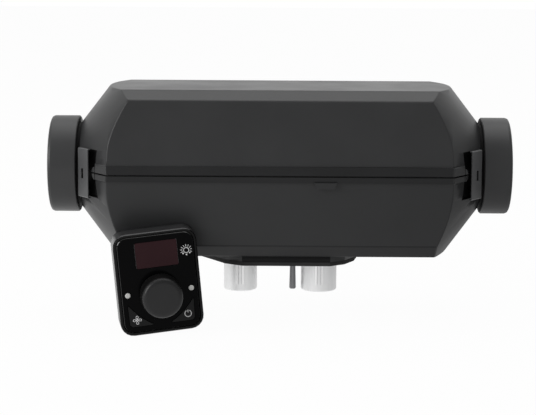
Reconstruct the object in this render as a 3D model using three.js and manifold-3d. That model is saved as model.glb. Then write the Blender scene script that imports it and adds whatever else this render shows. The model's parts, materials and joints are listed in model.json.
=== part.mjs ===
// A compact diesel air heater with its small rotary controller, in millimetres, +Z up.
// The origin is the middle of the base gasket's underside. X runs along the duct axis, and -Y is the front.
import * as THREE from "three";
import { mergeVertices } from "three/addons/utils/BufferGeometryUtils.js";
import Module from "manifold-3d";

const wasm = await Module();
wasm.setup();

// Fits
const SEAT_GAP = 0.3; // between neighbours that rest on one another
const BORE_FIT = 0.3; // radial, round a pin, a pipe or a shaft

// Heater, measured from the duct axis
const SHELL_END_X = 134.6;
const SHELL_WALL = 2.2;
const END_RADIUS = 30;
const CONE_SLOPE = 1.3;
const CONE_STRETCH = Math.hypot(1, CONE_SLOPE); // radial reach of a step square to the cone
const CONE_SEGMENTS = 64;
const KNEE_RADIUS = 58; // where the ends of the upper half turn less steep
const KNEE_SLOPE = 0.95;
const PARTING_GAP = 1;
const BEAD_PROUD = 1.3;
const UPPER_BEAD_TOP = 6.3;
const LOWER_BEAD_FOOT = -4.3;
const SHELL_TOP = 54.5;
const SHELL_BOTTOM = -56.5;
const SHELL_SIDE = 57.5;
const SHOULDER_SIDE = 51;
const SHOULDER_HEIGHT = 49;
const TOP_HALF_WIDTH = 36;
const BILGE_SIDE = 50;
const BILGE_HEIGHT = -48;
const BOTTOM_HALF_WIDTH = 42;
const EDGE_RADIUS = 2.5;
const GROMMET_X = -80;
const GROMMET_Z = -16;
const LIP_HEIGHT = 3;
const LIP_WALL = 1.1;
const LIP_END_X = 116;
const FAR = 2 * SHELL_END_X; // well outside the heater

// Duct collars
const COLLAR_RADIUS = 32.9;
const COLLAR_SET_OFF = 2.3; // from the shell's end to the collar
const COLLAR_LENGTH = 19;
const COLLAR_START_X = SHELL_END_X + COLLAR_SET_OFF;
const COLLAR_END_X = COLLAR_START_X + COLLAR_LENGTH;
const COLLAR_BORE = 28.4;
const NECK_RING_RADIUS = 28.4; // the dark ring between the shell and the collar
const NECK_RADIUS = 26.8;
const GRIP_RADIUS = 28.6; // the flange behind the shell's end
const NECK_BORE = 24.6;
const COLLAR_SEGMENTS = 40;

// Clips and their pockets in the frame of the cone's slope: s inboard along it, n out of it, z from the axis
const CLIP_OUTBOARD_S = 1.7;
const CLIP_INBOARD_S = 14;
const CLIP_FACE_N = 1.8;
const CLIP_THICKNESS = 0.8;
const CLIP_HALF_HEIGHT = 16.5;
const CLIP_MIDDLE_Z = -1.3;
const CLIP_HOOK_REACH = 2.2;
const POCKET_OUTBOARD_S = 5;
const POCKET_INBOARD_S = 20.6;
const POCKET_DEPTH = 4;
const POCKET_HALF_HEIGHT = 16;
const POCKET_MIDDLE_Z = -1.1;
const POCKET_WALL = 1.6;
const NOSE_REACH = 2.4;
const NOSE_TOP = 4.2;

// Base
const SKIRT_FOOT = -60.4;
const SKIRT_HALF_DEPTH = 40;
const SKIRT_LEFT_HALF = 5;
const GASKET_THICKNESS = 2.5;
const AXIS_HEIGHT = GASKET_THICKNESS + SEAT_GAP - SKIRT_FOOT; // above the gasket's underside
const SKIRT_WALL = 3.2;
const INTAKE_X = -26.9;
const EXHAUST_X = 27.2;
const FUEL_X = 9.2;
const PIPE_END = -86.7;
const INTAKE_RADIUS = 11.4;
const EXHAUST_RADIUS = 12.3;
const PIPE_WALL = 1.5;
const RIB_ANGLE = 9; // of the pipes' ribs, each side of the front
const RIB_HALF_WIDTH = 0.6;
const RIB_PROUD = 0.8;
const FUEL_RADIUS = 1.75;
const FUEL_FOOT_RADIUS = 2.3;

// Heat exchanger, burner and blower
const EXCHANGER_RADIUS = 33;
const EXCHANGER_WALL = 3;
const EXCHANGER_START_X = -36.5;
const EXCHANGER_END_X = 112;
const FIN_START_X = -16;
const INTAKE_PORT_RADIUS = 9;
const EXHAUST_PORT_RADIUS = 9.4;
const PLATE_OVERLAP = 2.2; // of the casting's flange on the shell floor
const FIN_TIP = 49;
const FIN_THICKNESS = 2.2;
const FLANGE_RADIUS = 42;
const FLANGE_THICKNESS = 3.2;
const BURNER_RADIUS = 21;
const GASKET_START_X = -38;
const BLOWER_END_X = -38.3;
const BLOWER_START_X = -62;
const BLOWER_RADIUS = 37;
const SCREW_CIRCLE = 38.4;
const SHAFT_RADIUS = 2.5;
const MOTOR_RADIUS = 22;
const MOTOR_START_X = -100;
const FAN_RADIUS = 40;
const FAN_START_X = -117;
const FAN_END_X = -103.5;
const HUB_RADIUS = 13;
const FAN_BLADES = 7;
const IMPELLER_VANES = 14;
const IMPELLER_RADIUS = 31;
const BURNER_END_X = 62;
const PLUG_X = -27;
const SENSOR_X = 60;
const SENSOR_RADIUS = 5;
const SENSOR_TOP = 40.2;
const SENSOR_PAD = 35;
const UNIT_X = -80.5;
const UNIT_LENGTH = 34;
const UNIT_WIDTH = 54;
const UNIT_HEIGHT = 20;
const GRILLE_THICKNESS = 2;
const GRILLE_RIM = 28.1;
const GRILLE_RIM_INNER = 26.4;

// Controller, in its own frame: u to the right, v up, n out of the face
const FACE_WIDTH = 54.8;
const FACE_HEIGHT = 67.8;
const FACE_CORNER = 8.6;
const CASE_DEPTH = 17;
const CASE_WALL = 1.9;
const FASCIA_DEPTH = 2.2;
const COVER_DEPTH = 2.4;
const KNOB_U = 0.5;
const KNOB_V = 26 - FACE_HEIGHT / 2;
const KNOB_BASE = 14;
const KNOB_CAP = 13.2;
const KNOB_HEIGHT = 14.4;
const WINDOW_U = 0.4;
const WINDOW_V = FACE_HEIGHT / 2 - 15;
const WINDOW_WIDTH = 27.4;
const WINDOW_HEIGHT = 17;
const INDICATOR_U = FACE_WIDTH / 2 - 6.5;
const INDICATOR_V = KNOB_V + 1.5;
const INDICATOR_RADIUS = 1.75;
const BUTTON_RISE = 0.5;
const BUTTON_LEFT = 5.8 - FACE_WIDTH / 2;
const BUTTON_FOOT = 6.25 - FACE_HEIGHT / 2;
const SWITCH_U = BUTTON_LEFT + 5.5;
const SWITCH_V = BUTTON_FOOT + 3.5;
const CONTROLLER_BACK = [-81.60, -55.93, -67.56]; // the middle of its back
const CONTROLLER_YAW = 10.5;
const CONTROLLER_PITCH = -1; // its top leans towards the front
const CONTROLLER_ROLL = 5.6;

// Finishes: colour, roughness, metalness
const SHELL_FINISH = [0x77797b, 0.55, 0.0];
const COLLAR_FINISH = [0x5f6163, 0.55, 0.0];
const PIPE_FINISH = [0xd4d5d6, 0.25, 1.0];
const STEEL_FINISH = [0x8b8e90, 0.35, 1.0];
const DARK_STEEL_FINISH = [0x4c4e50, 0.4, 1.0];
const CAST_FINISH = [0xa9abad, 0.5, 1.0];
const RUBBER_FINISH = [0x1d1d1e, 0.85, 0.0];
const BLACK_FINISH = [0x161617, 0.35, 0.0];
const GLOSS_FINISH = [0x0b0b0c, 0.08, 0.0];
const GLASS_FINISH = [0x2b1c1f, 0.06, 0.0];
const WHITE_FINISH = [0xd8d8d6, 0.4, 0.0];
const BOARD_FINISH = [0x1f4a34, 0.5, 0.0];

const radians = THREE.MathUtils.degToRad;

// Turns a closed geometry into a solid that can be joined and cut.
function solidOf(geometry) {
  const plain = geometry.index ? geometry.toNonIndexed() : geometry.clone();
  plain.deleteAttribute("normal");
  plain.deleteAttribute("uv");
  const merged = mergeVertices(plain, 1e-3);
  const corners = merged.index.array;
  const kept = [];
  for (let i = 0; i < corners.length; i += 3) {
    const [a, b, c] = [corners[i], corners[i + 1], corners[i + 2]];
    if (a !== b && b !== c && c !== a) kept.push(a, b, c);
  }
  const vertProperties = merged.attributes.position.array;
  const mesh = new wasm.Mesh({ numProp: 3, vertProperties, triVerts: new Uint32Array(kept) });
  return new wasm.Manifold(mesh);
}

function geometryOf(solid) {
  const mesh = solid.getMesh();
  const places = new Float32Array(mesh.numVert * 3);
  for (let i = 0; i < mesh.numVert; i++) {
    const start = i * mesh.numProp;
    places.set(mesh.vertProperties.subarray(start, start + 3), i * 3);
  }
  const geometry = new THREE.BufferGeometry();
  geometry.setAttribute("position", new THREE.BufferAttribute(places, 3));
  geometry.setIndex(new THREE.BufferAttribute(mesh.triVerts, 1));
  return geometry;
}

function nodeOf(name, solid, finish) {
  const [color, roughness, metalness] = finish;
  const geometry = geometryOf(solid);
  geometry.computeVertexNormals();
  const mesh = new THREE.Mesh(geometry, new THREE.MeshStandardMaterial({ color, roughness, metalness }));
  mesh.name = name;
  return mesh;
}

// A box between two corners.
function box(x0, x1, y0, y1, z0, z1) {
  const geometry = new THREE.BoxGeometry(x1 - x0, y1 - y0, z1 - z0);
  return solidOf(geometry.translate((x0 + x1) / 2, (y0 + y1) / 2, (z0 + z1) / 2));
}

function join(first, ...others) {
  return others.reduce((whole, piece) => whole.add(piece), first);
}

function cut(whole, ...tools) {
  return tools.reduce((left, tool) => left.subtract(tool), whole);
}

// A turned piece. Each profile point is [distance from the axis, place along it], and the profile closes.
function turnedGeometry(profile, segments) {
  const points = profile.map(([r, along]) => new THREE.Vector2(r, along));
  const closed = profile[0][0] > 0 ? [...points, points[0].clone()] : points;
  const area = closed.reduce((sum, p, i) => {
    const q = closed[(i + 1) % closed.length];
    return sum + p.x * q.y - q.x * p.y;
  }, 0);
  if (area < 0) closed.reverse();
  return new THREE.LatheGeometry(closed, segments);
}

function turnedZ(profile, segments) {
  return solidOf(turnedGeometry(profile, segments).rotateX(Math.PI / 2));
}

function turnedX(profile, segments) {
  return solidOf(turnedGeometry(profile, segments).rotateZ(-Math.PI / 2));
}

function rodX(radius, x0, x1, segments = 24) {
  const profile = [
    [0, x0],
    [radius, x0],
    [radius, x1],
    [0, x1],
  ];
  return turnedX(profile, segments);
}

function rodZ(radius, z0, z1, segments = 24) {
  const profile = [
    [0, z0],
    [radius, z0],
    [radius, z1],
    [0, z1],
  ];
  return turnedZ(profile, segments);
}

// A plate from a flat outline of [x, y] points, between two heights.
function plate(outline, z0, z1, holes = []) {
  const shape = new THREE.Shape(outline.map(([x, y]) => new THREE.Vector2(x, y)));
  for (const hole of holes) shape.holes.push(new THREE.Path(hole.map(([x, y]) => new THREE.Vector2(x, y))));
  const geometry = new THREE.ExtrudeGeometry(shape, { depth: z1 - z0, bevelEnabled: false });
  return solidOf(geometry.translate(0, 0, z0));
}

// Rounds the corners of an outline. Each corner is [x, y, radius].
function rounded(corners, steps) {
  const points = [];
  corners.forEach(([x, y, radius], i) => {
    const corner = new THREE.Vector2(x, y);
    if (!radius) {
      points.push([x, y]);
      return;
    }
    const before = corners[(i + corners.length - 1) % corners.length];
    const after = corners[(i + 1) % corners.length];
    const back = new THREE.Vector2(before[0], before[1]).sub(corner).normalize();
    const ahead = new THREE.Vector2(after[0], after[1]).sub(corner).normalize();
    const half = Math.acos(back.dot(ahead)) / 2;
    const reach = radius / Math.tan(half);
    const centre = back.clone().add(ahead).normalize();
    centre.multiplyScalar(radius / Math.sin(half)).add(corner);
    const from = back.multiplyScalar(reach).add(corner).sub(centre);
    const to = ahead.multiplyScalar(reach).add(corner).sub(centre);
    const turn = Math.atan2(from.cross(to), from.dot(to));
    for (let k = 0; k <= steps; k++) {
      const spot = from.clone().rotateAround(new THREE.Vector2(), (turn * k) / steps).add(centre);
      points.push([spot.x, spot.y]);
    }
  });
  return points;
}

function roundedBox(width, height, radius, steps) {
  const [w, h] = [width / 2, height / 2];
  const corners = [
    [w, -h, radius],
    [w, h, radius],
    [-w, h, radius],
    [-w, -h, radius],
  ];
  return rounded(corners, steps);
}

function circle(x, y, radius, segments) {
  const points = [];
  for (let i = 0; i < segments; i++) {
    const angle = (2 * Math.PI * i) / segments;
    points.push([x + radius * Math.cos(angle), y + radius * Math.sin(angle)]);
  }
  return points;
}

// The shell's cross-section, anticlockwise seen from +X, as [y, z, radius] corners.
const SECTION_CORNERS = [
  [SHELL_SIDE, 0, 0],
  [SHOULDER_SIDE, SHOULDER_HEIGHT, EDGE_RADIUS],
  [TOP_HALF_WIDTH, SHELL_TOP, EDGE_RADIUS],
  [-TOP_HALF_WIDTH, SHELL_TOP, EDGE_RADIUS],
  [-SHOULDER_SIDE, SHOULDER_HEIGHT, EDGE_RADIUS],
  [-SHELL_SIDE, 0, 0],
  [-BILGE_SIDE, BILGE_HEIGHT, EDGE_RADIUS],
  [-BOTTOM_HALF_WIDTH, SHELL_BOTTOM, EDGE_RADIUS],
  [BOTTOM_HALF_WIDTH, SHELL_BOTTOM, EDGE_RADIUS],
  [BILGE_SIDE, BILGE_HEIGHT, EDGE_RADIUS],
];

// A bar along X from a flat outline of [y, z] points.
function bar(outline, x0, x1) {
  const shape = new THREE.Shape(outline.map(([y, z]) => new THREE.Vector2(y, z)));
  const geometry = new THREE.ExtrudeGeometry(shape, { depth: x1 - x0, bevelEnabled: false });
  return solidOf(geometry.applyMatrix4(new THREE.Matrix4().set(0, 0, 1, x0, 1, 0, 0, 0, 0, 1, 0, 0, 0, 0, 0, 1)));
}

// The shell's outer form, drawn in by an inset: a bar with eight sides that a cone narrows at both ends.
function shellForm(inset) {
  const tip = END_RADIUS - inset * CONE_STRETCH;
  const middle = tip + CONE_SLOPE * SHELL_END_X;
  const profile = [
    [0, -SHELL_END_X],
    [tip, -SHELL_END_X],
    [middle, 0],
    [tip, SHELL_END_X],
    [0, SHELL_END_X],
  ];
  const sides = bar(drawnIn(rounded(SECTION_CORNERS, 2), inset), -SHELL_END_X, SHELL_END_X);
  return cut(sides.intersect(turnedX(profile, CONE_SEGMENTS)), kneeTrim(inset));
}

// What the less steep ends of the upper half leave off: all above the parting line outside a wider cone.
function kneeTrim(inset) {
  const kneeX = SHELL_END_X - (KNEE_RADIUS - END_RADIUS) / CONE_SLOPE;
  const middle = KNEE_RADIUS + KNEE_SLOPE * kneeX - inset * Math.hypot(1, KNEE_SLOPE);
  const past = SHELL_END_X + 1;
  const tip = middle - KNEE_SLOPE * past;
  const profile = [
    [0, -past],
    [tip, -past],
    [middle, 0],
    [tip, past],
    [0, past],
  ];
  return cut(box(-FAR, FAR, -FAR, FAR, 0, FAR), turnedX(profile, CONE_SEGMENTS));
}

const SKIRT_FRONT = [
  [-55, -SKIRT_LEFT_HALF],
  [-49, -14],
  [-37, -32],
  [-25, -SKIRT_HALF_DEPTH],
  [34, -SKIRT_HALF_DEPTH],
  [44, -33],
  [51, -20],
  [53.5, -6],
];

// The plan of the base skirt, seen from above, drawn in by an inset.
function skirtPlan(inset) {
  const rear = SKIRT_FRONT.map(([x, y]) => [x, -y]).reverse();
  return drawnIn([...SKIRT_FRONT, ...rear], inset);
}

// Moves each side of an anticlockwise outline inwards.
function drawnIn(outline, inset) {
  return outline.map(([x, y], i) => {
    const [beforeX, beforeY] = outline[(i + outline.length - 1) % outline.length];
    const [afterX, afterY] = outline[(i + 1) % outline.length];
    const back = new THREE.Vector2(x - beforeX, y - beforeY).normalize();
    const ahead = new THREE.Vector2(afterX - x, afterY - y).normalize();
    const inward = new THREE.Vector2(-back.y - ahead.y, back.x + ahead.x).normalize();
    const share = inset / Math.cos(Math.acos(Math.min(1, back.dot(ahead))) / 2);
    return [x + inward.x * share, y + inward.y * share];
  });
}

// Copies a solid to the four ends: both ends of the duct axis, at the front and the rear.
function atFourEnds(solid) {
  const flipX = solid.mirror([1, 0, 0]);
  return [solid, flipX, solid.mirror([0, 1, 0]), flipX.mirror([0, 1, 0])];
}

// Lays a solid on the cone at the right front: x becomes the way inboard along its slope, y the way out.
function onCone(solid) {
  const turn = THREE.MathUtils.radToDeg(Math.atan(CONE_SLOPE)) - 180;
  return solid.rotate([0, 0, turn]).translate([SHELL_END_X, -END_RADIUS, 0]);
}

// The walls round one clip pocket, and the hollow of the pocket, at the right front.
function pocketWalls() {
  const high = POCKET_HALF_HEIGHT + POCKET_WALL;
  const [outboard, inboard] = [POCKET_OUTBOARD_S - POCKET_WALL, POCKET_INBOARD_S + POCKET_WALL];
  const walls = box(outboard, inboard, -POCKET_DEPTH - POCKET_WALL, POCKET_WALL, -high, high);
  return onCone(walls.translate([0, 0, POCKET_MIDDLE_Z]));
}

function pocketHollow() {
  const high = POCKET_HALF_HEIGHT;
  const hollow = box(POCKET_OUTBOARD_S, POCKET_INBOARD_S, -POCKET_DEPTH, FAR, -high, high);
  return onCone(hollow.translate([0, 0, POCKET_MIDDLE_Z]));
}

// The round end of the rim bead, which reaches into the pocket.
function beadNose() {
  const [foot, top] = [LOWER_BEAD_FOOT, NOSE_TOP];
  const round = (top - foot) * 0.4;
  const [root, tip] = [POCKET_INBOARD_S + 1, POCKET_INBOARD_S - NOSE_REACH];
  const corners = [
    [root, foot, 0],
    [root, top, 0],
    [tip, top, round],
    [tip, foot, round],
  ];
  return onCone(plate(rounded(corners, 4), -BEAD_PROUD, POCKET_DEPTH + 0.5).rotate([90, 0, 0]));
}

// The ribs that the hooks of one clip snap over: one on each half of the shell.
function clipRibs() {
  const face = CLIP_FACE_N - CLIP_THICKNESS - SEAT_GAP;
  const outer = CLIP_HALF_HEIGHT - CLIP_THICKNESS - SEAT_GAP;
  const [outboard, inboard] = [CLIP_OUTBOARD_S + 0.8, CLIP_OUTBOARD_S + 6.3];
  const pair = [
    [outer - 4, outer],
    [-outer, -outer + 4],
  ];
  return pair.map(([z0, z1]) => {
    return onCone(box(outboard, inboard, -POCKET_DEPTH - 0.5, face, CLIP_MIDDLE_Z + z0, CLIP_MIDDLE_Z + z1));
  });
}

function clip() {
  const high = CLIP_HALF_HEIGHT;
  const hook = CLIP_FACE_N - CLIP_HOOK_REACH;
  const inner = CLIP_FACE_N - CLIP_THICKNESS;
  const upperHalf = [
    [CLIP_FACE_N, high - 0.6],
    [CLIP_FACE_N - 0.6, high],
    [hook, high],
    [hook, high - CLIP_THICKNESS],
    [inner, high - CLIP_THICKNESS],
  ];
  const outline = [...upperHalf, ...upperHalf.map(([n, z]) => [n, -z]).reverse()];
  const strip = bar(outline, CLIP_OUTBOARD_S, CLIP_INBOARD_S);
  const slot = box(CLIP_OUTBOARD_S + 3.7, CLIP_OUTBOARD_S + 6.3, 0, 3, -3.8, 2.9);
  return onCone(cut(strip, slot).translate([0, 0, CLIP_MIDDLE_Z]));
}

function shellHalves() {
  const beyond = SHELL_END_X + 3;
  const half = PARTING_GAP / 2;
  const pocketX = SHELL_END_X - POCKET_INBOARD_S / CONE_STRETCH;
  const beadSpan = box(-pocketX, pocketX, -FAR, FAR, LOWER_BEAD_FOOT, UPPER_BEAD_TOP);
  const bead = shellForm(-BEAD_PROUD).intersect(beadSpan);
  const inner = join(shellForm(SHELL_WALL), rodX(NECK_RADIUS + BORE_FIT, -beyond, beyond, COLLAR_SEGMENTS));
  const skin = shellForm(0.05);
  const walls = atFourEnds(pocketWalls()).map((piece) => piece.intersect(skin));
  const walled = join(cut(join(shellForm(0), bead), inner), ...walls);
  const whole = join(cut(walled, ...atFourEnds(pocketHollow())), ...atFourEnds(beadNose()));
  const [upperRibs, lowerRibs] = clipRibs().map(atFourEnds);
  const above = box(-FAR, FAR, -FAR, FAR, half, FAR);
  const below = box(-FAR, FAR, -FAR, FAR, -FAR, -half);
  const lipSpan = box(-LIP_END_X, LIP_END_X, -FAR, FAR, -2, LIP_HEIGHT);
  const lip = cut(shellForm(SHELL_WALL - LIP_WALL), shellForm(SHELL_WALL + 0.2)).intersect(lipSpan);
  const lipLimit = LIP_END_X + SEAT_GAP;
  const lipSlab = box(-lipLimit, lipLimit, -FAR, FAR, -1, LIP_HEIGHT + SEAT_GAP);
  const lipRoom = shellForm(SHELL_WALL - LIP_WALL - SEAT_GAP).intersect(lipSlab);
  const skirt = plate(skirtPlan(0), SKIRT_FOOT, SHELL_BOTTOM + 1);
  const opening = plate(skirtPlan(SKIRT_WALL), SKIRT_FOOT - 5, SHELL_BOTTOM + 10);
  const catchTab = plate(
    [
      [22.4, -4],
      [24.6, -8.2],
      [35.6, -8.2],
      [37.6, -4],
    ],
    0,
    4.2,
  ).rotate([90, 0, 0]);
  const standing = catchTab.translate([0, -SHELL_SIDE + 2.4, 0]);
  const grommetHole = rodZ(5.3, -8, 8, 20).rotate([90, 0, 0]).translate([GROMMET_X, SHELL_SIDE - 2.5, GROMMET_Z]);
  return {
    upper: cut(join(whole, ...upperRibs).intersect(above), lipRoom),
    lower: cut(join(whole, ...lowerRibs, standing).intersect(below).add(join(lip, skirt)), opening, grommetHole),
  };
}

// A duct collar at the +X end: the round rim, the neck that the shell halves grip, and the flange behind them.
function collar() {
  const flangeX = SHELL_END_X - 5.2;
  const profile = [
    [COLLAR_BORE, COLLAR_END_X - 0.6],
    [COLLAR_BORE + 0.6, COLLAR_END_X],
    [COLLAR_RADIUS - 1.8, COLLAR_END_X],
    [COLLAR_RADIUS - 0.6, COLLAR_END_X - 0.6],
    [COLLAR_RADIUS, COLLAR_END_X - 2],
    [COLLAR_RADIUS, COLLAR_START_X + 0.6],
    [COLLAR_RADIUS - 0.6, COLLAR_START_X],
    [NECK_RING_RADIUS, COLLAR_START_X],
    [NECK_RING_RADIUS, SHELL_END_X + SEAT_GAP],
    [NECK_RADIUS, SHELL_END_X + SEAT_GAP],
    [NECK_RADIUS, SHELL_END_X - 1.8],
    [GRIP_RADIUS, SHELL_END_X - 2.4],
    [GRIP_RADIUS, flangeX],
    [NECK_BORE, flangeX],
    [NECK_BORE, COLLAR_START_X + 1.5],
    [COLLAR_BORE, COLLAR_START_X + 1.5],
  ];
  return turnedX(profile, COLLAR_SEGMENTS);
}

const GRILLE_X = COLLAR_START_X + 1.5 + SEAT_GAP;

// One ring of a grille, between two radii.
function grilleRing(inner, outer) {
  const profile = [
    [inner, GRILLE_X],
    [outer, GRILLE_X],
    [outer, GRILLE_X + GRILLE_THICKNESS],
    [inner, GRILLE_X + GRILLE_THICKNESS],
  ];
  return turnedX(profile, 24);
}

// The inlet grille at the +X end: three rings on six spokes.
function ringGrille() {
  const pitch = GRILLE_RIM / 3;
  const rings = [2, 1].map((step) => grilleRing(step * pitch - 1, step * pitch + 0.4));
  const spokes = [];
  for (let i = 0; i < 6; i++) {
    const spoke = box(GRILLE_X, GRILLE_X + GRILLE_THICKNESS, -0.9, 0.9, pitch - 0.4, GRILLE_RIM_INNER + 0.6);
    spokes.push(spoke.rotate([i * 60, 0, 0]));
  }
  return join(grilleRing(GRILLE_RIM_INNER, GRILLE_RIM), ...rings, ...spokes);
}

// The outlet guard at the +X end: one ring with upright bars.
function barGuard() {
  const reach = GRILLE_RIM_INNER + 0.6;
  const bars = [];
  for (let i = -3; i <= 3; i++) {
    const y = (i * reach) / 3.65;
    const high = Math.sqrt(reach * reach - y * y);
    bars.push(box(GRILLE_X, GRILLE_X + GRILLE_THICKNESS, y - 0.8, y + 0.8, -high, high));
  }
  return join(grilleRing(GRILLE_RIM_INNER, GRILLE_RIM), ...bars);
}

function baseGasket() {
  const top = SKIRT_FOOT - SEAT_GAP;
  const foot = top - GASKET_THICKNESS;
  const holes = [
    circle(INTAKE_X, 0, INTAKE_RADIUS + 0.5, 28),
    circle(EXHAUST_X, 0, EXHAUST_RADIUS + 0.5, 28),
    circle(FUEL_X, 0, FUEL_RADIUS + 0.7, 16),
  ];
  return plate(skirtPlan(0.4), foot, top, holes);
}

// A spigot with two raised ribs along its front, standing in the base plate from below.
function ribbedPipe(x, radius, seatTop) {
  const profile = [
    [radius - PIPE_WALL, PIPE_END],
    [radius - 0.5, PIPE_END],
    [radius, PIPE_END + 0.6],
    [radius, seatTop],
    [radius - PIPE_WALL, seatTop],
  ];
  const tube = turnedZ(profile, 32);
  const ribTop = SKIRT_FOOT - SEAT_GAP - GASKET_THICKNESS - 0.4;
  const rib = box(-RIB_HALF_WIDTH, RIB_HALF_WIDTH, -radius - RIB_PROUD, -radius + 0.9, PIPE_END + 5, ribTop);
  const ribs = [-RIB_ANGLE, RIB_ANGLE].map((angle) => rib.rotate([0, 0, angle]));
  return join(tube, ...ribs).translate([x, 0, 0]);
}

function fuelSpigot(seatTop) {
  const profile = [
    [0, PIPE_END],
    [FUEL_FOOT_RADIUS - 0.4, PIPE_END],
    [FUEL_FOOT_RADIUS, PIPE_END + 0.8],
    [FUEL_RADIUS, SKIRT_FOOT - 4],
    [FUEL_RADIUS, seatTop],
    [0, seatTop],
  ];
  const bore = rodZ(1, PIPE_END - 1, seatTop - 3, 12);
  return cut(turnedZ(profile, 16), bore).translate([FUEL_X, 0, 0]);
}

const PLATE_SEAT = -54; // underside of the casting's flange, on the shell floor
const SOCKET_TOP = -55; // where the pipes end in the casting

function heatExchanger() {
  const inner = EXCHANGER_RADIUS - EXCHANGER_WALL;
  const profile = [
    [inner, EXCHANGER_START_X],
    [FLANGE_RADIUS, EXCHANGER_START_X],
    [FLANGE_RADIUS, EXCHANGER_START_X + FLANGE_THICKNESS],
    [EXCHANGER_RADIUS, EXCHANGER_START_X + FLANGE_THICKNESS],
    [EXCHANGER_RADIUS, EXCHANGER_END_X - 12],
    [EXCHANGER_RADIUS - 8, EXCHANGER_END_X],
    [0, EXCHANGER_END_X],
    [0, EXCHANGER_END_X - EXCHANGER_WALL],
    [inner - 7, EXCHANGER_END_X - EXCHANGER_WALL],
    [inner, EXCHANGER_END_X - 13],
  ];
  const vessel = turnedX(profile, 28);
  const fins = [];
  for (let i = 0; i < 14; i++) {
    const angle = -130 + i * 20;
    const half = FIN_THICKNESS / 2;
    const fin = box(FIN_START_X, EXCHANGER_END_X - 14, -half, half, EXCHANGER_RADIUS - 1, FIN_TIP);
    fins.push(fin.rotate([angle, 0, 0]));
  }
  const sensorPad = box(SENSOR_X - 12, SENSOR_X + 12, -9, 9, EXCHANGER_RADIUS - 5, SENSOR_PAD);
  const sensorRoom = box(SENSOR_X - 14, SENSOR_X + 14, -12, 12, SENSOR_PAD, FAR);
  const plugRoom = box(PLUG_X - 7, PLUG_X + 11.5, -9, 9, EXCHANGER_RADIUS, FAR);
  const plug = plate(skirtPlan(SKIRT_WALL + SEAT_GAP), SKIRT_FOOT, PLATE_SEAT + 0.1);
  const flange = plate(skirtPlan(SKIRT_WALL - PLATE_OVERLAP), PLATE_SEAT, PLATE_SEAT + 3);
  const neck = box(4, 44, -15, 15, PLATE_SEAT + 1, -EXCHANGER_RADIUS + 6);
  const lugs = [];
  for (let i = 0; i < 4; i++) {
    const hole = rodX(2 + BORE_FIT, EXCHANGER_START_X - 2, EXCHANGER_START_X + 5, 14);
    lugs.push(hole.translate([0, 0, SCREW_CIRCLE]).rotate([45 + 90 * i, 0, 0]));
  }
  const hollow = rodX(inner, EXCHANGER_START_X - 1, EXCHANGER_END_X - 14, 28);
  const solid = cut(join(vessel, ...fins, sensorPad), sensorRoom, plugRoom);
  const cast = join(solid, plug, flange, cut(neck, hollow));
  return cut(
    cast,
    ...lugs,
    rodZ(INTAKE_RADIUS + BORE_FIT, -70, SOCKET_TOP, 32).translate([INTAKE_X, 0, 0]),
    rodZ(INTAKE_PORT_RADIUS, -70, -40, 24).translate([INTAKE_X, 0, 0]),
    rodZ(EXHAUST_RADIUS + BORE_FIT, -70, SOCKET_TOP, 32).translate([EXHAUST_X, 0, 0]),
    rodZ(EXHAUST_PORT_RADIUS, -70, -24, 24).translate([EXHAUST_X, 0, 0]),
    rodZ(FUEL_RADIUS + BORE_FIT, -70, SOCKET_TOP, 16).translate([FUEL_X, 0, 0]),
    rodZ(4 + BORE_FIT, 20, 60, 16).translate([PLUG_X, 0, 0]),
  );
}

function burnerTube() {
  const start = EXCHANGER_START_X + 1.5;
  const rim = EXCHANGER_RADIUS - EXCHANGER_WALL - 2 * SEAT_GAP;
  const profile = [
    [BURNER_RADIUS - 1.5, start],
    [rim, start],
    [rim, start + 3],
    [BURNER_RADIUS, start + 3],
    [BURNER_RADIUS, BURNER_END_X],
    [BURNER_RADIUS - 1.5, BURNER_END_X],
  ];
  const tube = turnedX(profile, 22);
  return cut(tube, rodZ(3.4, 12, 30, 14).translate([PLUG_X, 0, 0]));
}

function burnerGasket() {
  const profile = [
    [24, GASKET_START_X],
    [FLANGE_RADIUS - 8.5, GASKET_START_X],
    [FLANGE_RADIUS - 8.5, EXCHANGER_START_X - SEAT_GAP],
    [24, EXCHANGER_START_X - SEAT_GAP],
  ];
  return turnedX(profile, 24);
}

function glowPlug() {
  const seat = EXCHANGER_RADIUS + SEAT_GAP;
  const profile = [
    [0, 13],
    [2.4, 13.6],
    [3, 20],
    [3, 30],
    [4, 31],
    [4, seat],
    [6, seat],
    [6, seat + 5],
    [2, seat + 5],
    [2, seat + 10],
    [0, seat + 10],
  ];
  return turnedZ(profile, 12).translate([PLUG_X, 0, 0]);
}

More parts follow.
